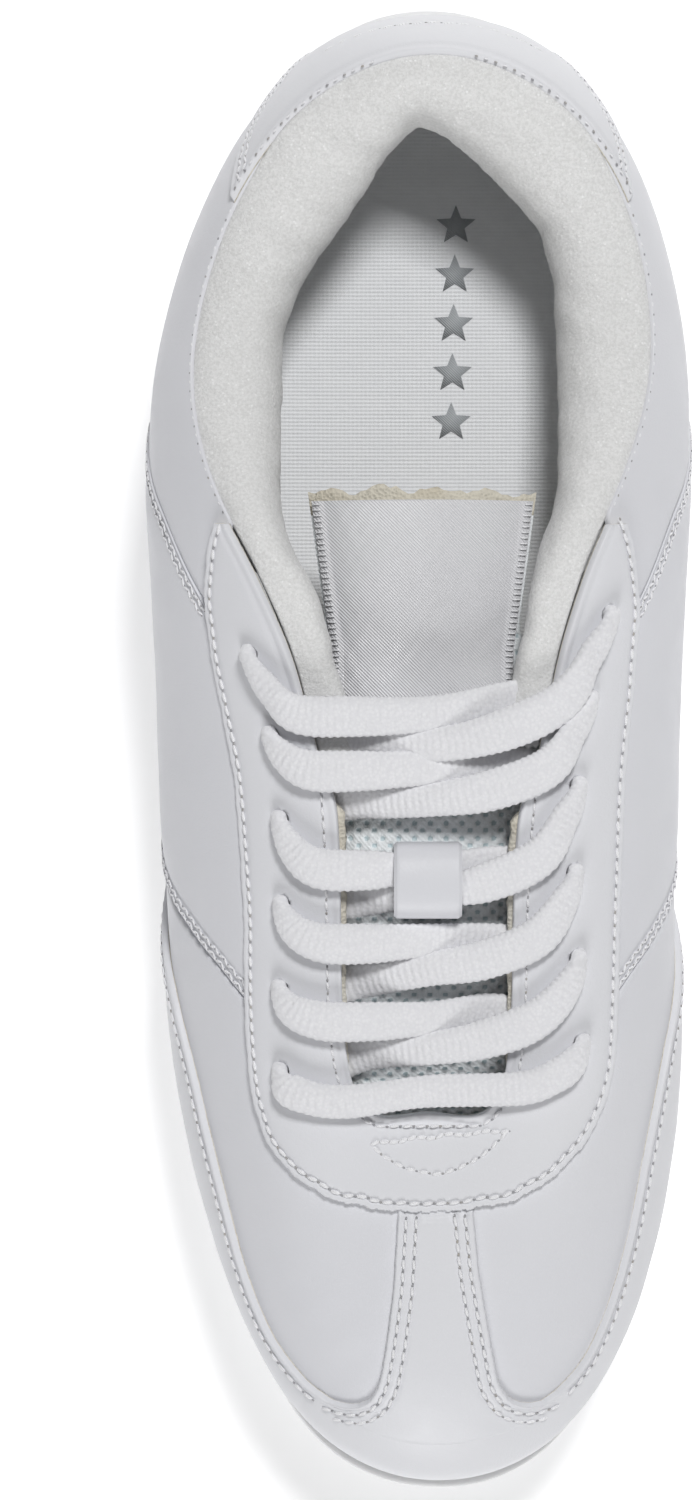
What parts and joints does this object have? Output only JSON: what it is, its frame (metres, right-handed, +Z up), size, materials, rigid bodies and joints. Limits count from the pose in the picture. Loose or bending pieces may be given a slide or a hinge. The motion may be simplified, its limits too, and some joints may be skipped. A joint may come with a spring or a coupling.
{
  "type": "cheer shoe",
  "caption": "Low white lace-up cheerleading shoe for the right foot, with a stitched leather upper, padded collar, mesh tongue and light fluted sole.",
  "frame": {"origin": "centre of the shoe's bounding box in plan, on the floor plane the tread stands on", "axes": "+Z up from the floor; -Y towards the toe and +Y towards the heel; +X towards the inner (medial) side of this right shoe"},
  "size_m": [0.0931, 0.262, 0.0736],
  "materials": {
    "rubber": "matt moulded rubber",
    "eva": "satin moulded foam sidewall",
    "shank_plastic": "matt",
    "board": "fibre board",
    "sockliner_fabric": "ribbed knit over foam",
    "stiffener": "matt thermoplastic sheet",
    "overlay_leather": "smooth white, soft sheen",
    "panel_leather": "smooth white, soft sheen",
    "backing_fabric": "woven backing",
    "foam": "raw cream foam",
    "collar_fabric": "brushed pile",
    "tongue_mesh": "open spacer mesh",
    "satin": "satin weave",
    "lace": "flat tubular knit",
    "tip_plastic": "clear-white, glossy"
  },
  "bodies": {
    "shoe": {"outsole": "rubber", "midsole": "eva", "shank": "shank_plastic", "strobel_board": "board", "sockliner_forefoot": "sockliner_fabric", "toe_puff": "stiffener", "heel_counter": "stiffener", "toe_overlay": "overlay_leather", "vamp_lateral": "panel_leather", "vamp_medial": "panel_leather", "saddle_lateral": "panel_leather", "saddle_medial": "panel_leather", "quarter_lateral": "panel_leather", "quarter_medial": "panel_leather", "heel_overlay": "overlay_leather", "eyestay": "overlay_leather", "eyestay_backing": "backing_fabric", "vamp_lining": "backing_fabric", "collar_foam": "foam", "collar_lining": "collar_fabric", "tongue_mesh": "tongue_mesh", "tongue_foam": "foam", "lace_keeper": "panel_leather", "shoelace": "lace", "lace_end_lateral": "lace", "lace_end_medial": "lace", "lace_tip_lateral": "tip_plastic", "lace_tip_medial": "tip_plastic"},
    "tongue_top": {"tongue_top_mesh": "tongue_mesh", "tongue_top_foam": "foam", "tongue_label": "satin"},
    "sockliner_lift": {"sockliner_heel": "sockliner_fabric"}
  },
  "joints": [
    {"name": "tongue_flip", "type": "hinge", "parent": "shoe", "child": "tongue_top", "pos_m": [0, 0.017, 0.0642], "axis": [1, 0, 0], "range_deg": [-5, 60]},
    {"name": "sockliner_peel", "type": "hinge", "parent": "shoe", "child": "sockliner_lift", "pos_m": [0, -0.006, 0.02323], "axis": [1, 0, 0], "range_deg": [0, 4]}
  ]
}
